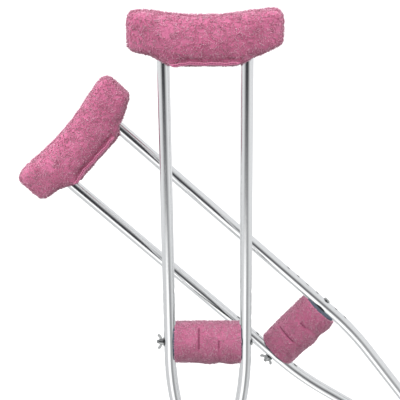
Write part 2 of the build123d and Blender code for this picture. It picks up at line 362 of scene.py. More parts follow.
def plush_backing(depth):
    """The backing's finish. depth darkens all its colours as painted shade, and is below 1 for the grip's copy."""

    def build(board):
        place = board.place()
        swirl = board.noise(place, 150.0, 4.0, 0.65, 1.4)
        patch = board.noise(place, 28.0, 2.0)
        blended = swirl * 0.6 + patch * 0.4
        return {
            "Base_Color": board.mix(blended, shaded(PLUSH_DEEP_AND_SHADE, depth), shaded(PLUSH_MID, depth)),
            "Roughness": 0.85 + swirl * 0.1,
            "Normal": board.bump(swirl, 0.8, 0.0015),
        }

    return build


def plush_pile(depth, gap):
    """The pile's finish. depth darkens all its colours as painted shade, and is below 1 for the grip's shorter pile.
    gap is how strongly the painted shade in the spaces between locks shows."""

    deep, mid, pale = (shaded(colour, depth) for colour in (PLUSH_DEEP_AND_SHADE, PLUSH_MID, PLUSH_PALE_HIGHLIGHT))

    def build(board):
        place = board.place()
        tip = board.out(board.node("ShaderNodeAttribute", {"attribute_name": "tip"}), "Fac")
        tone = board.out(board.node("ShaderNodeAttribute", {"attribute_name": "tone"}), "Fac")
        patch = board.noise(place, 45.0, 3.0, 0.6, 0.8)
        curl_and_gap_shade = board.step(board.noise(place, 340.0, 3.0, 0.6, 1.2), 0.41, 0.59)
        # The root colour is darkened as painted shade and the tip colour lightened as a painted highlight; tone and
        # the noises vary both at random.
        root = board.mix(tone, deep, mid)
        end = board.mix(tone * 0.45 + curl_and_gap_shade * 0.35 + patch * 0.2, mid, pale)
        # Painted shade in the spaces between tufts, where the tuft noise is low; the locks of lowest tone are darkened
        # too, at random.
        gap_shade = (1.0 - curl_and_gap_shade) * gap + (1.0 - board.step(tone, 0.10, 0.25)) * (0.4 * gap)
        return {"Base_Color": board.mix(gap_shade, board.mix(tip, root, end), deep), "Roughness": 0.7 + tone * 0.2}

    return build


def hem_cloth(board):
    place = board.place()
    knit = board.noise(place, 420.0, 3.0, 0.6)
    patch = board.noise(place, 60.0, 2.0)
    return {
        "Base_Color": board.mix(knit * 0.7 + patch * 0.3, (0.46, 0.095, 0.210), (0.76, 0.26, 0.43)),
        "Roughness": 0.8 + knit * 0.15,
        "Normal": board.bump(knit, 0.7, 0.0006),
    }


def dark_thread(board):
    twist = board.noise(board.place(), 1800.0, 2.0)
    return {
        "Base_Color": board.mix(twist, (0.100, 0.010, 0.038), (0.190, 0.026, 0.075)),
        "Roughness": 0.6 + twist * 0.2,
        "Normal": board.bump(twist, 0.5, 0.0002),
    }


SHEEN = {"Sheen_Weight": 0.9, "Sheen_Roughness": 0.40, "Sheen_Tint": (1.0, 0.88, 0.94)}
backing = finish("plush_backing", plush_backing(1.0), **SHEEN)
# The grip's backing and pile take the pad's colours darkened by depth, as painted shade.
grip_backing = finish("grip_backing", plush_backing(0.74), **SHEEN)
pad_pile_finish = finish("pad_pile", plush_pile(1.0, 0.64), **SHEEN)
grip_pile_finish = finish("grip_pile", plush_pile(0.80, 0.50), **SHEEN)
hem = finish("hem_cloth", hem_cloth, **SHEEN)
thread = finish("sewing_thread", dark_thread)
print("plush finishes: 6")

# %% [markdown]
# ## Finishes on the ready parts
# The ready parts keep their meshes. Only their material slots are filled.

# %% Dress the metal and moulded parts
READY = {
    "left_side_tube": aluminium,
    "right_side_tube": aluminium,
    "sleeve_tube": aluminium,
    "leg_tube": aluminium,
    "saddle": nylon,
    "grip_core": nylon,
    "sleeve_cap": nylon,
    "sleeve_collar": nylon,
    "tube_spacers": nylon,
    "side_tube_plugs": nylon,
    "saddle_rivets": zinc,
    "clamp_bolts": zinc,
    "clamp_nuts": zinc,
    "grip_bolt": bolt_zinc,
    "wing_nut_washer": zinc,
    "wing_nut": zinc,
    "tip_disc": zinc,
    "button_spring": spring_steel,
    "near_button": button_steel,
    "far_button": button_steel,
    "rubber_tip": rubber,
}


def dress(node, material):
    """Gives a ready part its finish."""
    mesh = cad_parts[node].data
    mesh.materials.clear()
    mesh.materials.append(material)


for side in CRUTCHES:
    for part, look in READY.items():
        dress(f"{side}_{part}", look[side] if isinstance(look, dict) else look)
print("dressed", 2 * len(READY), "ready parts")

# %% [markdown]
# ## Making soft shapes
# A stuffed cover is made like the real one: a closed skin, slightly too small, that is blown up by a pressure from
# inside while some of it is held. The cloth solver then finds the creases by itself. Movement is capped, so that the
# skin can't leave the space it has. `skin` makes an object from points and faces, `even_out` remeshes it into even
# quads, and `blow_up` runs the cloth solver.


# %% Soft shape helpers
def skin(name, points, faces):
    """An object at the origin, with outward faces."""
    mesh = bpy.data.meshes.new(name)
    mesh.from_pydata([tuple(p) for p in points], [], faces)
    piece = bpy.data.objects.new(name, mesh)
    bpy.context.scene.collection.objects.link(piece)
    shape = bmesh.new()
    shape.from_mesh(mesh)
    bmesh.ops.remove_doubles(shape, verts=shape.verts, dist=1e-6)
    bmesh.ops.recalc_face_normals(shape, faces=shape.faces)
    shape.to_mesh(mesh)
    shape.free()
    return piece


def bake_modifiers(piece):
    """Applies every modifier by taking the evaluated mesh."""
    depsgraph = bpy.context.evaluated_depsgraph_get()
    mesh = bpy.data.meshes.new_from_object(piece.evaluated_get(depsgraph))
    old = piece.data
    piece.modifiers.clear()
    piece.data = mesh
    mesh.name = piece.name
    bpy.data.meshes.remove(old)


def even_out(piece, size):
    """Remeshes a closed skin into even quads of that size."""
    remesh = piece.modifiers.new("even quads", "REMESH")
    remesh.mode = "VOXEL"
    remesh.voxel_size = size
    bake_modifiers(piece)


def corners(piece):
    """The piece's points as an array of x, y, z."""
    flat = np.empty(len(piece.data.vertices) * 3)
    piece.data.vertices.foreach_get("co", flat)
    return flat.reshape(-1, 3)


def set_corners(piece, points):
    piece.data.vertices.foreach_set("co", points.astype(np.float32).ravel())
    piece.data.update()


def round_off(piece, levels=1):
    """One subdivision, with the same levels in every view, and smooth shading."""
    subdivide = piece.modifiers.new("round", "SUBSURF")
    subdivide.levels = levels
    subdivide.render_levels = levels
    bake_modifiers(piece)
    piece.data.shade_smooth()


def blow_up(piece, held, pressure, most, slack):
    """Runs 20 frames of cloth under pressure. held are the point numbers that stay. Nothing moves more than most."""
    before = corners(piece)
    group = piece.vertex_groups.new(name="held")
    group.add([int(i) for i in held], 1.0, "REPLACE")
    cloth = piece.modifiers.new("cloth", "CLOTH")
    cloth.settings.quality = 5
    cloth.settings.mass = 0.3
    cloth.settings.tension_stiffness = 20
    cloth.settings.compression_stiffness = 12
    cloth.settings.shear_stiffness = 6
    cloth.settings.bending_stiffness = 0.4
    cloth.settings.vertex_group_mass = "held"
    cloth.settings.use_pressure = True
    cloth.settings.uniform_pressure_force = pressure
    cloth.settings.shrink_min = -slack
    cloth.settings.effector_weights.gravity = 0.0
    cloth.collision_settings.use_collision = False
    cloth.point_cache.frame_start = 1
    cloth.point_cache.frame_end = 20
    for number in range(1, 21):
        bpy.context.scene.frame_set(number)
    bake_modifiers(piece)
    piece.vertex_groups.clear()
    bpy.context.scene.frame_set(1)
    move = corners(piece) - before
    length = np.linalg.norm(move, axis=1)
    move *= np.minimum(1.0, most / np.maximum(length, 1e-9))[:, None]
    set_corners(piece, before + move)
    return float(length.mean())


def bell(x, middle, width):
    """1 at the middle, falling smoothly to 0 about one width away."""
    return np.exp(-(((x - middle) / (0.5 * width)) ** 2))


def ease(x, low, high):
    t = np.clip((x - low) / (high - low), 0.0, 1.0)
    return t * t * (3 - 2 * t)


print("soft helpers ready")

# %% [markdown]
# ## Underarm pad cover
# The pad is a rounded block with a hollowed top, where the arm sits, and drooping ends. Its skin starts as a
# superellipse, the shape between a box and an egg, which gives full, soft corners. Top and bottom edges are then
# drawn to their own lines: the top dips 7 mm in the middle, and the bottom steps up at both ends.

# %% The pad's skin
PAD_HALF = 0.1110
PAD_DEEP = 0.0335
PAD_MID_Z = 0.480
FACE_POWER = 7.5
DEPTH_POWER = 3.4


def fullness(unit):
    """How far out a point is, 1 on the superellipse. The front outline is boxier than the section through it."""
    flat = (np.abs(unit[:, 0]) ** FACE_POWER + np.abs(unit[:, 2]) ** FACE_POWER) ** (DEPTH_POWER / FACE_POWER)
    return (flat + np.abs(unit[:, 1]) ** DEPTH_POWER) ** (1 / DEPTH_POWER)


def pad_top(x):
    return 0.5093 + 0.0128 * np.minimum(np.abs(x) / 0.098, 1.12) ** 2.0


def pad_bottom(x):
    ends = 0.0185 * ease(np.abs(x), 0.046, 0.084) + 0.003 * ease(np.abs(x), 0.090, 0.110)
    return 0.4422 + ends + 0.005 * ease(x, 0.080, 0.108)


def block_points(count):
    """Points and faces of a cube of side 2, cut into a grid."""
    shape = bmesh.new()
    bmesh.ops.create_cube(shape, size=2.0)
    bmesh.ops.subdivide_edges(shape, edges=shape.edges, cuts=count, use_grid_fill=True)
    points = np.array([v.co[:] for v in shape.verts])
    faces = [[v.index for v in f.verts] for f in shape.faces]
    shape.free()
    return points, faces


def pad_skin():
    unit, faces = block_points(30)
    unit = unit / fullness(unit)[:, None]
    x = unit[:, 0] * PAD_HALF
    high = PAD_MID_Z + unit[:, 2] * (pad_top(x) - PAD_MID_Z)
    low = PAD_MID_Z + unit[:, 2] * (PAD_MID_Z - pad_bottom(x))
    z = np.where(unit[:, 2] > 0, high, low)
    return skin("pad_plush", np.stack([x, unit[:, 1] * PAD_DEEP, z], axis=1), faces)


pad = pad_skin()
even_out(pad, 0.0046)
print("pad skin:", len(pad.data.vertices), "points")

# %% [markdown]
# The cover is held where the tubes go in and along the sewn edge of its opening underneath. Then it is blown up,
# gently: the plush is slightly loose, so slack lets it wrinkle. After that the crease above the front and back
# hems is pressed in by moving points, as a sculptor would, and the openings for the tubes are cut.

# %% Blow up the pad cover
at = corners(pad)
near_tube = np.hypot(np.abs(at[:, 0]) - TUBE_X, at[:, 1]) < 0.014
under = at[:, 2] < 0.452
hem_line = under & (np.abs(np.abs(at[:, 1]) - 0.022) < 0.0035) & (np.abs(at[:, 0]) < 0.052)
moved = blow_up(pad, np.flatnonzero((near_tube & under) | hem_line), 4.0, 0.0026, 0.006)
print("pad cover moved", round(moved * 1000, 2), "mm on average")


# %% Press the creases in
def wander(points, scale, seed):
    """Smooth random values from -1 to 1 at each point."""
    offset = Vector((seed, 2.0 * seed, 3.0 * seed))
    return np.array([noise.noise(Vector(p) * scale + offset) for p in points])


def press(piece, amount):
    """Moves each point inwards by its amount."""
    normals = np.empty(len(piece.data.vertices) * 3)
    piece.data.vertices.foreach_get("normal", normals)
    set_corners(piece, corners(piece) - normals.reshape(-1, 3) * amount[:, None])


CREASE_Z = 0.4515
round_off(pad)
at = corners(pad)
x, y, z = at.T
facing = ease(np.abs(y), 0.018, 0.028)
slits = bell(x, -0.021, 0.030) + bell(x, 0.036, 0.032) + 0.35 * (np.abs(x) < 0.055)
crease = 0.0040 * facing * bell(z, CREASE_Z, 0.0050) * np.minimum(slits, 1.0)
tuck = 0.0022 * bell(np.abs(x), 0.066, 0.014) * ease(0.475 - z, 0.0, 0.025) * facing
droop = 0.0034 * facing * (y < 0) * bell(x, -0.050, 0.018) * ease(0.456 - z, 0.0, 0.010)
dents = 0.0007 * wander(at, 30.0, 3.0) + 0.0003 * wander(at, 90.0, 5.0)
press(pad, crease + tuck + dents - droop)
print("pressed", int((crease > 0.001).sum()), "points for the hem creases")

# %% [markdown]
# The tubes pass up through two round openings. The faces around each tube are taken out, the rim is drawn to a
# clean circle, and the skin gets a wall on its inner side, so that the opening shows the thickness of the cloth.


# %% Cut the tube openings
def cut_round(piece, centre_x, top_z, radius):
    """Opens a round hole around a vertical line, below top_z."""
    shape = bmesh.new()
    shape.from_mesh(piece.data)

    def off_axis(p):
        return sqrt((p.x - centre_x) ** 2 + p.y**2)

    gone = [
        f
        for f in shape.faces
        if all(v.co.z < top_z for v in f.verts) and off_axis(f.calc_center_median()) < radius
    ]
    bmesh.ops.delete(shape, geom=gone, context="FACES")
    rim = [e for e in shape.edges if e.is_boundary]
    for point in {v for e in rim for v in e.verts}:
        if off_axis(point.co) < 1.6 * radius and point.co.z < top_z:
            scale = radius / max(off_axis(point.co), 1e-6)
            point.co.x = centre_x + (point.co.x - centre_x) * scale
            point.co.y *= scale
    shape.to_mesh(piece.data)
    shape.free()
    return len(gone)


OPENING_R = TUBE_R + 0.0022
CLOTH_THICKNESS = 0.0022
for sign in (-1, 1):
    print("opening:", cut_round(pad, sign * TUBE_X, 0.470, OPENING_R), "faces taken out")

wall = pad.modifiers.new("wall", "SOLIDIFY")
wall.thickness = CLOTH_THICKNESS
wall.offset = -1.0
bake_modifiers(pad)
pad.data.shade_smooth()
pad.data.materials.append(backing)
print("pad cover:", len(pad.data.polygons), "faces")

# %% [markdown]
# ## Hand grip cover
# The grip's cover is a shorter, smoother plush tube, sewn in two places at the front so that it bulges between.
# It is a lathe shape: rings along the bolt axis, with rounded lips at both ends. The inner wall is held on the foam,
# and so are the seams; the rest is blown up. Where a side tube passes, the end of the cover is pressed clear of
# it, all the way down to the grip's lowest setting, where the tubes have begun to bend inwards.

# %% The grip's skin
FOAM_R = 0.0295
GRIP_LEFT = -0.0516
GRIP_RIGHT = 0.0528
STITCHES = {"long": (-0.0135, 0.0285, 0.004, 0.008), "short": (0.018, 0.014, 0.0055, 0.034)}


def tube_line(z):
    """How far out the side tube's centre line is, at its nearest as the grip is set to any height."""
    drop = np.maximum(BEND_START_Z - (z - GRIP_DROP), 0.0)
    return TUBE_X - drop**2 / (2 * BEND_R)


def clear_of_tubes(points, gap):
    """Moves points inwards along X so that they stay that far from both side tubes."""
    x, y, z = points.T
    reach = TUBE_R + gap
    chord = np.sqrt(np.maximum(reach**2 - y**2, 0.0))
    limit = tube_line(z) - chord
    return np.stack([np.where(np.abs(y) < reach, np.clip(x, -limit, limit), x), y, z], axis=1)


def ring_faces(rings, around, closed):
    """Quads between rings of points; closed joins the last ring to the first."""
    count = rings if closed else rings - 1
    return [
        [
            i * around + j,
            i * around + (j + 1) % around,
            ((i + 1) % rings) * around + (j + 1) % around,
            ((i + 1) % rings) * around + j,
        ]
        for i in range(count)
        for j in range(around)
    ]


def grip_skin():
    along, around, inner_r, outer_r = 44, 84, FOAM_R + 0.0003, FOAM_R + 0.0026
    span = GRIP_RIGHT - GRIP_LEFT
    path = [(GRIP_LEFT + span * i / along, outer_r) for i in range(along + 1)]
    path += [(GRIP_RIGHT + 0.0007, (inner_r + outer_r) / 2)]
    path += [(GRIP_RIGHT - span * i / along, inner_r) for i in range(along + 1)]
    path += [(GRIP_LEFT - 0.0007, (inner_r + outer_r) / 2)]
    points = [
        (x, r * cos(2 * pi * j / around), r * sin(2 * pi * j / around)) for x, r in path for j in range(around)
    ]
    return skin("grip_plush", points, ring_faces(len(path), around, True))


grip = grip_skin()
at = corners(grip)
radius = np.hypot(at[:, 1], at[:, 2])
held = radius < FOAM_R + 0.0008
for seam_x, high, low, _ in STITCHES.values():
    on_seam = (np.abs(at[:, 0] - seam_x) < 0.0017) & (at[:, 1] < 0)
    held |= on_seam & (at[:, 2] < high) & (at[:, 2] > low - 0.004)
moved = blow_up(grip, np.flatnonzero(held), 4.5, 0.0014, 0.008)
print("grip cover moved", round(moved * 1000, 2), "mm on average")

# %% [markdown]
# The stitches pull the cover in, and folds run on down from them. Below, the loose cloth hangs in two soft lobes.

# %% Folds and lobes of the grip cover
round_off(grip)
at = corners(grip)
x, y, z = at.T
radius = np.hypot(y, z)
outside = ease(radius, FOAM_R + 0.0012, FOAM_R + 0.0030)
front = ease(-y, 0.0, 0.014)
fold = np.zeros(len(at))
for seam_x, high, low, run in STITCHES.values():
    drift = seam_x + 0.10 * (low - z) * (z < low)
    reach = ease(z, low - run, low - 0.5 * run) * (1 - ease(z, high, high + 0.006))
    fold += bell(x, drift, 0.0055) * reach
under = ease(-z, 0.004, 0.030)
lobes = 0.0020 * bell(x, 0.003, 0.024) + 0.0022 * bell(x, 0.038, 0.022) - 0.0007 * bell(x, 0.019, 0.010)
dents = 0.0003 * wander(at, 48.0, 7.0)
amount = outside * (0.0022 * front * fold - under * lobes + dents)
press(grip, amount)
set_corners(grip, clear_of_tubes(corners(grip), 0.0006))
grip.data.materials.append(grip_backing)
print("grip cover:", len(grip.data.polygons), "faces")

# %% [markdown]
# ## Foam
# The foam inside the pad, and the foam sleeve of the grip, whose dark ends show beside the cover, keep the shape of
# their CAD solids. Remeshing rounds their edges as a blade-cut foam edge wears round. The pad's filling is drawn in to
# a share of the cover's own size wherever it would reach further, so that it stays inside the cloth.


# %% Foam blocks
def foam_from(node, name, size, material):
    """A remeshed, slightly uneven copy of a front CAD solid."""
    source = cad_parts[node]
    piece = bpy.data.objects.new(name, source.data.copy())
    bpy.context.scene.collection.objects.link(piece)
    shape = bmesh.new()
    shape.from_mesh(piece.data)
    bmesh.ops.remove_doubles(shape, verts=shape.verts, dist=1e-6)
    shape.to_mesh(piece.data)
    shape.free()
    even_out(piece, size)
    normals = np.empty(len(piece.data.vertices) * 3)
    piece.data.vertices.foreach_get("normal", normals)
    at = corners(piece)
    sink = 0.00018 + 0.00012 * wander(at, 160.0, 11.0)
    set_corners(piece, at - normals.reshape(-1, 3) * sink[:, None])
    piece.data.materials.clear()
    piece.data.materials.append(material)
    piece.data.shade_smooth()
    return piece


FILLING_SHARE = 0.86
filling = foam_from("front_underarm_foam", "pad_filling", 0.0030, pad_foam)
at = corners(filling)
half_high = np.where(at[:, 2] > PAD_MID_Z, pad_top(at[:, 0]) - PAD_MID_Z, PAD_MID_Z - pad_bottom(at[:, 0]))
half = np.stack([np.full(len(at), PAD_HALF), np.full(len(at), PAD_DEEP), half_high], 1)
full = fullness((at - (0, 0, PAD_MID_Z)) / half)
inward = np.minimum(1.0, FILLING_SHARE / np.maximum(full, 1e-6))[:, None]
set_corners(filling, (0, 0, PAD_MID_Z) + (at - (0, 0, PAD_MID_Z)) * inward)
sleeve = foam_from("front_grip_foam", "grip_sleeve", 0.0016, grip_foam)
set_corners(sleeve, clear_of_tubes(corners(sleeve), 0.0003))
print("foam:", len(filling.data.polygons), "and", len(sleeve.data.polygons), "faces")

# %% [markdown]
# ## Pile by Geometry Nodes
# A lock of pile is one curved, tapering strand with ten triangles. The tree scatters points over the cover,
# leans each lock along a slowly turning noise so that neighbours swirl together, and gives it a random length. How
# much pile grows where is read from the attribute `grow` on the cover: none inside, at the openings, or by the tubes.


# %% One lock of pile
def lock_shape():
    """A strand along +Z, one unit long, with the attribute tip from 0 at its root to 1 at its end."""
    rings = [(0.0, 0.0, 0.52), (0.10, 0.50, 0.42)]
    points = [
        (lean + wide * cos(2 * pi * j / 3), wide * sin(2 * pi * j / 3), height)
        for lean, height, wide in rings
        for j in range(3)
    ] + [(0.42, 0.0, 0.95)]
    faces = ring_faces(2, 3, False) + [[3 + j, 3 + (j + 1) % 3, 6] for j in range(3)] + [[2, 1, 0]]
    piece = skin("pile_lock", points, faces)
    tips = piece.data.attributes.new("tip", "FLOAT", "POINT")
    tips.data.foreach_set("value", [v.co.z for v in piece.data.vertices])
    piece.data.shade_smooth()
    return piece


lock = lock_shape()
print("lock:", len(lock.data.polygons), "faces")


# %% [markdown]
# Each tree is a node group with named inputs. `group` makes an empty one and `use` adds it to an object, setting each
# input by the identifier of its socket.


# %% Tree helpers
def group(name, **inputs):
    """An empty node group: its board, its input node and its inputs by name."""
    tree = bpy.data.node_groups.new(name, "GeometryNodeTree")
    tree.interface.new_socket("Geometry", in_out="INPUT", socket_type="NodeSocketGeometry")
    for label, kind in inputs.items():
        tree.interface.new_socket(label, in_out="INPUT", socket_type=f"NodeSocket{kind}")
    tree.interface.new_socket("Geometry", in_out="OUTPUT", socket_type="NodeSocketGeometry")
    board = Board(tree)
    given = tree.nodes.new("NodeGroupInput")
    return board, {label: board.out(given, label) for label in ["Geometry", *inputs]}


def close_group(board, geometry, material):
    """Ends a tree: real geometry, its material, and the group's output."""
    real = board.node("GeometryNodeRealizeInstances", Geometry=geometry)
    dressed = board.node("GeometryNodeSetMaterial", Geometry=board.out(real), Material=material)
    board.node("NodeGroupOutput", Geometry=board.out(dressed))


def use(tree, source, name, **values):
    """Runs a tree on a copy of source and returns what it made as a plain piece."""
    carrier = bpy.data.objects.new(name, source.data.copy())
    bpy.context.scene.collection.objects.link(carrier)
    nodes = carrier.modifiers.new("nodes", "NODES")
    nodes.node_group = tree
    for item in tree.interface.items_tree:
        if item.in_out == "INPUT" and item.name in values:
            nodes[item.identifier] = values[item.name]
    bake_modifiers(carrier)
    return carrier


# %% The pile tree
board, given = group(
    "pile", Lock="Object", Density="Float", Length="Float", Width="Float", Swirl="Float", Seed="Int", Finish="Material"
)
grow = board.node("GeometryNodeInputNamedAttribute", {"data_type": "FLOAT"}, Name="grow")
scatter = board.node(
    "GeometryNodeDistributePointsOnFaces",
    {"distribute_method": "RANDOM"},
    Mesh=given["Geometry"],
    Density=given["Density"] * board.out(grow),
    Seed=given["Seed"],
)
flow = board.node("ShaderNodeTexNoise", {"noise_dimensions": "3D"}, Scale=given["Swirl"], Detail=1.5)
centred = board.node("ShaderNodeVectorMath", {"operation": "SUBTRACT"}, i0=board.out(flow, "Color"), i1=(0.5,) * 3)
strong = board.node("ShaderNodeVectorMath", {"operation": "SCALE"}, i0=board.out(centred), Scale=6.5)
lean = board.node(
    "ShaderNodeVectorMath", {"operation": "ADD"}, i0=board.out(scatter, "Normal"), i1=board.out(strong)
)
spin = board.node("FunctionNodeRandomValue", {"data_type": "FLOAT"}, i2=0.0, i3=6.28, Seed=given["Seed"])
turn = board.node("ShaderNodeCombineXYZ", Z=board.out(spin, 1))
aim = board.node(
    "FunctionNodeAlignRotationToVector", {"axis": "Z"}, Rotation=board.out(turn), Vector=board.out(lean)
)
stretch = board.node("FunctionNodeRandomValue", {"data_type": "FLOAT"}, i2=0.6, i3=1.25, Seed=given["Seed"])
size = board.node(
    "ShaderNodeCombineXYZ", X=given["Width"], Y=given["Width"], Z=given["Length"] * board.out(stretch, 1)
)
locks = board.node("GeometryNodeObjectInfo", Object=given["Lock"])
planted = board.node(
    "GeometryNodeInstanceOnPoints",
    Points=board.out(scatter),
    Instance=board.out(locks, "Geometry"),
    Rotation=board.out(aim),
    Scale=board.out(size),
)
shade = board.node("FunctionNodeRandomValue", {"data_type": "FLOAT"}, i2=0.0, i3=1.0, Seed=given["Seed"])
toned = board.node(
    "GeometryNodeStoreNamedAttribute",
    {"data_type": "FLOAT", "domain": "INSTANCE"},
    Geometry=board.out(planted),
    Name="tone",
)
board.feed(toned.inputs["Value"], board.out(shade, 1))
close_group(board, board.out(toned), given["Finish"])
pile_tree = board.tree
print("pile tree:", len(pile_tree.nodes), "nodes")


# %% Grow the pile
def set_grow(piece, amount):
    layer = piece.data.attributes.new("grow", "FLOAT", "POINT")
    layer.data.foreach_set("value", np.clip(amount, 0.0, 1.0).astype(np.float32))


def facing_out(piece, middle):
    """1 on the outer skin, 0 on the inner wall, by which way the normals point from a middle line along X."""
    normals = np.empty(len(piece.data.vertices) * 3)
    piece.data.vertices.foreach_get("normal", normals)
    away = corners(piece) - np.array(middle)
    away[:, 0] *= 0.3
    return (np.einsum("ij,ij->i", normals.reshape(-1, 3), away) > 0).astype(float)


at = corners(pad)
from_tube = np.hypot(np.abs(at[:, 0]) - TUBE_X, at[:, 1])
open_below = np.where(at[:, 2] < 0.475, ease(from_tube, 0.0125, 0.0155), 1.0)
groove = 1 - ease(np.abs(at[:, 1]), 0.016, 0.024) * bell(at[:, 2], CREASE_Z, 0.0040) * (np.abs(at[:, 0]) < 0.052)
set_grow(pad, facing_out(pad, (0, 0, PAD_MID_Z)) * open_below * groove)

at = corners(grip)
tube_gap = np.hypot(np.abs(at[:, 0]) - tube_line(at[:, 2]), at[:, 1]) - TUBE_R
outer = ease(np.hypot(at[:, 1], at[:, 2]), FOAM_R + 0.0014, FOAM_R + 0.0022)
bare = np.zeros(len(at))
for seam_x, high, low, _ in STITCHES.values():
    along_seam = ease(at[:, 2], low - 0.002, low) * (at[:, 2] < high + 0.001) * (at[:, 1] < 0)
    bare += 1.3 * bell(at[:, 0], seam_x, 0.0042) * along_seam
grow = facing_out(grip, (0, 0, 0)) * outer * ease(tube_gap, 0.0035, 0.0050)
set_grow(grip, grow * (1 - np.minimum(bare, 1.0)))

pad_pile = use(
    pile_tree,
    pad,
    "pad_pile",
    Lock=lock,
    Density=208000.0,
    Length=0.0031,
    Width=0.0013,
    Swirl=70.0,
    Seed=4,
    Finish=pad_pile_finish,
)
grip_pile = use(
    pile_tree,
    grip,
    "grip_pile",
    Lock=lock,
    Density=330000.0,
    Length=0.0022,
    Width=0.0011,
    Swirl=60.0,
    Seed=9,
    Finish=grip_pile_finish,
)
print("pile:", len(pad_pile.data.polygons), "and", len(grip_pile.data.polygons), "faces")

# %% [markdown]
# ## Hem and stitches
# The cover's opening runs along the underside. Its two long edges are rolled and sewn, and the front one shows
# below the crease. A roll is a tube of cloth along a wandering line. Stitches follow a line at an even pitch, so a
# second tree resamples a line and sets one thread loop on each point, along the line.


# %% The hem rolls
def roll(name, line, radius, material):
    """A closed tube along a line of points, tapered to its ends."""
    line = np.array(line)
    tangent = np.gradient(line, axis=0)
    tangent /= np.linalg.norm(tangent, axis=1)[:, None]
    side = np.cross(tangent, (0.0, 0.0, 1.0))
    side /= np.linalg.norm(side, axis=1)[:, None]
    up = np.cross(side, tangent)
    count, around = len(line), 12
    taper = np.sqrt(np.clip(np.minimum(np.arange(count), count - 1 - np.arange(count)) / 5.0, 0.04, 1.0))
    points = [
        line[i] + radius * taper[i] * (cos(2 * pi * j / around) * side[i] + sin(2 * pi * j / around) * up[i])
        for i in range(count)
        for j in range(around)
    ]
    faces = ring_faces(count, around, False)
    faces += [list(range(around))[::-1], [(count - 1) * around + j for j in range(around)]]
    piece = skin(name, points, faces)
    piece.data.materials.append(material)
    piece.data.shade_smooth()
    return piece


def hem_line_points(sign):
    """The middle of a hem roll: along the lower edge, with a droop near its left end."""
    stations = np.linspace(-0.0505, 0.0505, 90)
    wave = 0.0006 * np.sin(stations * 190 + sign) + 0.0004 * np.sin(stations * 430 + 2 * sign)
    droop = 0.0022 * bell(stations, -0.046, 0.020) + 0.0008 * bell(stations, 0.020, 0.030)
    height = 0.4462 + wave - droop
    return np.stack([stations, sign * (0.0272 + 0.6 * wave), height], axis=1)


hem_rolls = [roll(f"hem_{sign}", hem_line_points(sign), 0.0024, hem) for sign in (-1, 1)]
print("hem rolls:", len(hem_rolls))

# %% The stitch tree
board, given = group("stitches", Stitch="Object", Pitch="Float", Size="Float", Finish="Material")
as_curve = board.node("GeometryNodeMeshToCurve", Mesh=given["Geometry"])
even = board.node(
    "GeometryNodeResampleCurve", {"mode": "LENGTH"}, Curve=board.out(as_curve), Length=given["Pitch"]
)
along = board.node("GeometryNodeInputTangent")
laid = board.node("FunctionNodeAlignRotationToVector", {"axis": "X"}, Vector=board.out(along))
loops = board.node("GeometryNodeObjectInfo", Object=given["Stitch"])
width = board.node("ShaderNodeCombineXYZ", X=given["Size"], Y=given["Size"], Z=given["Size"])
sewn = board.node(
    "GeometryNodeInstanceOnPoints",
    Points=board.out(even),
    Instance=board.out(loops, "Geometry"),
    Rotation=board.out(laid),
    Scale=board.out(width),
)
close_group(board, board.out(sewn), given["Finish"])
stitch_tree = board.tree
print("stitch tree:", len(stitch_tree.nodes), "nodes")


# %% Sew the hems and the grip
def stitch_shape():
    """One stitch along +X, one unit long: a plump thread that dips at both ends."""
    rings = [(-0.5, -0.12, 0.05), (-0.3, 0.03, 0.15), (0.0, 0.08, 0.17), (0.3, 0.03, 0.15), (0.5, -0.12, 0.05)]
    points = [
        (x, r * cos(2 * pi * j / 6), lift + r * sin(2 * pi * j / 6)) for x, lift, r in rings for j in range(6)
    ]
    faces = ring_faces(5, 6, False) + [list(range(6))[::-1], list(range(24, 30))]
    piece = skin("stitch", points, faces)
    piece.data.shade_smooth()
    return piece


def on_surface(piece, line, lift):
    """Moves each point of a line to the nearest place on a piece, and lifts it off the surface."""
    placed = []
    for point in line:
        found, spot, normal, _ = piece.closest_point_on_mesh(Vector(point))
        placed.append(spot + normal * lift)
    return placed


def thread_lines(name, lines):
    """Lines of points as one mesh of edges."""
    points = [p for line in lines for p in line]
    edges, start = [], 0
    for line in lines:
        edges += [(start + i, start + i + 1) for i in range(len(line) - 1)]
        start += len(line)
    mesh = bpy.data.meshes.new(name)
    mesh.from_pydata([tuple(p) for p in points], edges, [])
    piece = bpy.data.objects.new(name, mesh)
    bpy.context.scene.collection.objects.link(piece)
    return piece


stitch = stitch_shape()
hem_threads = thread_lines(
    "hem_threads",
    [[p + np.array((0, sign * 0.0024, 0.0004)) for p in hem_line_points(sign)[6:-6]] for sign in (-1, 1)],
)
grip_seams = []
for seam_x, high, low, _ in STITCHES.values():
    heights = np.linspace(high, low, 24)
    line = [(seam_x, -sqrt((FOAM_R + 0.002) ** 2 - z**2), z) for z in heights]
    grip_seams.append(on_surface(grip, line, 0.0013))
grip_threads = thread_lines("grip_threads", grip_seams)
hem_stitches = use(stitch_tree, hem_threads, "hem_stitches", Stitch=stitch, Pitch=0.0036, Size=0.0030, Finish=thread)
grip_stitches = use(
    stitch_tree, grip_threads, "grip_stitches", Stitch=stitch, Pitch=0.0034, Size=0.0036, Finish=thread
)
print("stitches:", len(hem_stitches.data.polygons), "and", len(grip_stitches.data.polygons), "faces")

# %% [markdown]
# ## Both crutches
# The soft pieces are copied to each crutch, with the place written into the mesh. The pad's pieces ride on the
# crutch's frame, and the grip's pieces on its sliding grip. Where a piece takes the place of a CAD solid, that solid
# is hidden.


# %% Place the soft pieces
def join_meshes(name, pieces):
    """One piece from several."""
    with bpy.context.temp_override(active_object=pieces[0], selected_editable_objects=pieces):
        bpy.ops.object.join()
    pieces[0].name = name
    return pieces[0]


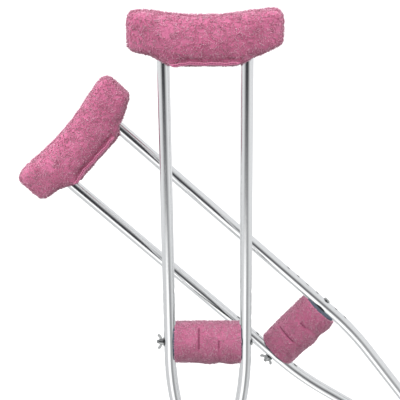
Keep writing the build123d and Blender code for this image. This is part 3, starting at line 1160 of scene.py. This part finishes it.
hem_piece = join_meshes("pad_hem", hem_rolls)
SOFT = [
    # piece, body, material slot, CAD solid it stands for, fill
    (pad, "frame", "plush", "underarm_cover", 0.7),
    (pad_pile, "frame", "plush", None, None),
    (hem_piece, "frame", "plush", None, None),
    (hem_stitches, "frame", "plush", None, None),
    (filling, "frame", "pad_foam", "underarm_foam", 0.9),
    (grip, "grip", "plush", "grip_cover", 0.7),
    (grip_pile, "grip", "plush", None, None),
    (grip_stitches, "grip", "plush", None, None),
    (sleeve, "grip", "grip_foam", "grip_foam", 0.95),
]
for source, body, slot_name, solid, fill in SOFT:
    for side, place in CRUTCHES.items():
        piece = bpy.data.objects.new(f"{side}_{source.name}", source.data.copy())
        piece.data.transform(place)
        bpy.context.scene.collection.objects.link(piece)
        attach(piece, f"{side}_{body}")
        if solid:
            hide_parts(f"{side}_{solid}")
        if body == "grip":
            piece.visible_glossy = False
for spare in [source for source, *_ in SOFT] + [lock, stitch, hem_threads, grip_threads]:
    bpy.data.objects.remove(spare)
print("soft pieces:", 2 * len(SOFT))

# %% [markdown]
# ## Room, lights and camera
# A plain pale floor, large soft lights above and in front, and a white room. The floor lies just under the tip of the
# longest leg setting, so that a leg that is drawn out doesn't go through it. Polished tubes show what they mirror,
# so the room has a soft dark patch where a person would stand with a camera, and a darker strip to one side. Only
# reflections see them. They give each tube its dark core near the top and the paler, striped look lower down.

# %% Floor
FLOOR_HALF = 60.0
FLOOR_Z = -0.7995
floor_edge = [(-1, -1), (1, -1), (1, 1), (-1, 1)]
floor_mesh = bpy.data.meshes.new("floor")
floor_mesh.from_pydata([(x * FLOOR_HALF, y * FLOOR_HALF, FLOOR_Z) for x, y in floor_edge], [], [[0, 1, 2, 3]])
floor = bpy.data.objects.new("floor", floor_mesh)
bpy.context.scene.collection.objects.link(floor)


def pale_floor(board):
    cloud = board.noise(board.place(), 1.5, 2.0)
    return {"Base_Color": board.mix(cloud, (0.88, 0.88, 0.88), (0.90, 0.90, 0.90))}


floor.data.materials.append(finish("pale_floor", pale_floor, Roughness=0.9))
floor.visible_glossy = False
floor.visible_diffuse = False
floor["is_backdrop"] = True

# %% Room
world = bpy.data.worlds.new("studio")
bpy.context.scene.world = world
world.use_nodes = True
world.node_tree.nodes.clear()
board = Board(world.node_tree)
parts = board.node("ShaderNodeSeparateXYZ", Vector=board.out(board.node("ShaderNodeTexCoord"), "Generated"))
side_way, front_way, up_way = (board.out(parts, axis) for axis in "XYZ")
turn_angle = board.math("ARCTAN2", side_way, front_way * -1.0)
tilt = board.math("ARCSINE", up_way)


def patch(angle, middle, half, soft):
    """1 within half of the middle angle, fading over soft, in degrees."""
    off = board.math("ABSOLUTE", angle - radians(middle))
    return 1.0 - board.step(off, radians(half), radians(half + soft))


low_to_high = board.step(tilt, radians(-23), radians(-15))
upper = low_to_high * 0.74 + board.step(tilt, radians(-14), radians(-6)) * 0.25
dark_core = patch(turn_angle, -2.0, 16.0, 44.0) * upper
bright_band = patch(turn_angle, -18.0, 12.0, 22.0) * (1.0 - low_to_high)
dark_strip = patch(turn_angle, 29.0, 8.0, 24.0) * (1.0 - low_to_high)
tone = board.mix(low_to_high, (0.68, 0.69, 0.70), (0.80, 0.81, 0.82))
tone = board.mix(dark_core, tone, (0.02, 0.02, 0.025))
tone = board.mix(bright_band, tone, (1.30, 1.30, 1.30))
tone = board.mix(dark_strip * 0.85, tone, (0.28, 0.285, 0.29))
mirrored = board.node("ShaderNodeBackground", Color=tone, Strength=1.0)
above = board.step(up_way, -0.5, 0.7)
plain = board.node("ShaderNodeBackground", Color=board.mix(above, (0.50, 0.48, 0.49), (1.0, 1.0, 1.0)), Strength=0.95)
pure = board.node("ShaderNodeBackground", Color=(1.0, 1.0, 1.0), Strength=1.1)
rays = board.node("ShaderNodeLightPath")
lit = board.node(
    "ShaderNodeMixShader", i0=board.out(rays, "Is Glossy Ray"), i1=board.out(plain), i2=board.out(mirrored)
)
room = board.node("ShaderNodeMixShader", i0=board.out(rays, "Is Camera Ray"), i1=board.out(lit), i2=board.out(pure))
board.node("ShaderNodeOutputWorld", Surface=board.out(room))
print("room ready")


# %% Lights
def soft_light(name, place, aim, size, power):
    lamp = bpy.data.lights.new(name, "AREA")
    lamp.shape = "DISK"
    lamp.size = size
    lamp.energy = power
    holder = bpy.data.objects.new(name, lamp)
    holder.location = place
    holder.rotation_euler = (Vector(aim) - Vector(place)).to_track_quat("-Z", "Y").to_euler()
    holder.visible_glossy = False
    bpy.context.scene.collection.objects.link(holder)


def wide_light(name, towards, strength, spread):
    """A light as wide as a lit ceiling, the same all over the floor."""
    lamp = bpy.data.lights.new(name, "SUN")
    lamp.energy = strength
    lamp.angle = radians(spread)
    holder = bpy.data.objects.new(name, lamp)
    holder.rotation_euler = Vector(towards).to_track_quat("-Z", "Y").to_euler()
    holder.visible_glossy = False
    bpy.context.scene.collection.objects.link(holder)


wide_light("ceiling", (0.25, 0.30, -1.0), 1.9, 70.0)
soft_light("left", (-1.8, -1.3, 0.9), (0.0, 0.0, 0.2), 1.2, 18.0)
soft_light("right", (2.0, -0.6, 0.9), (0.1, 0.0, 0.2), 1.2, 14.0)
print("three soft lights")

# %% Camera
down, across, tilted = radians(16.0), radians(-1.43), radians(-0.66)
look = Vector((sin(across) * cos(down), cos(across) * cos(down), -sin(down)))
right = look.cross(Vector((0, 0, 1))).normalized()
top = right.cross(look)
right, top = cos(tilted) * right + sin(tilted) * top, cos(tilted) * top - sin(tilted) * right
stand = Matrix((right, top, -look)).transposed().to_4x4()
stand.translation = Vector((0.0182, -1.1196, 0.5586))
lens = bpy.data.cameras.new("camera")
lens.lens = 68.65
lens.sensor_width = 36.0
camera = bpy.data.objects.new("camera", lens)
camera.matrix_world = stand
bpy.context.scene.collection.objects.link(camera)
bpy.context.scene.camera = camera
bpy.context.scene.view_settings.view_transform = "Standard"
print("camera ready")

# %% Scene bounds
low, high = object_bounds()
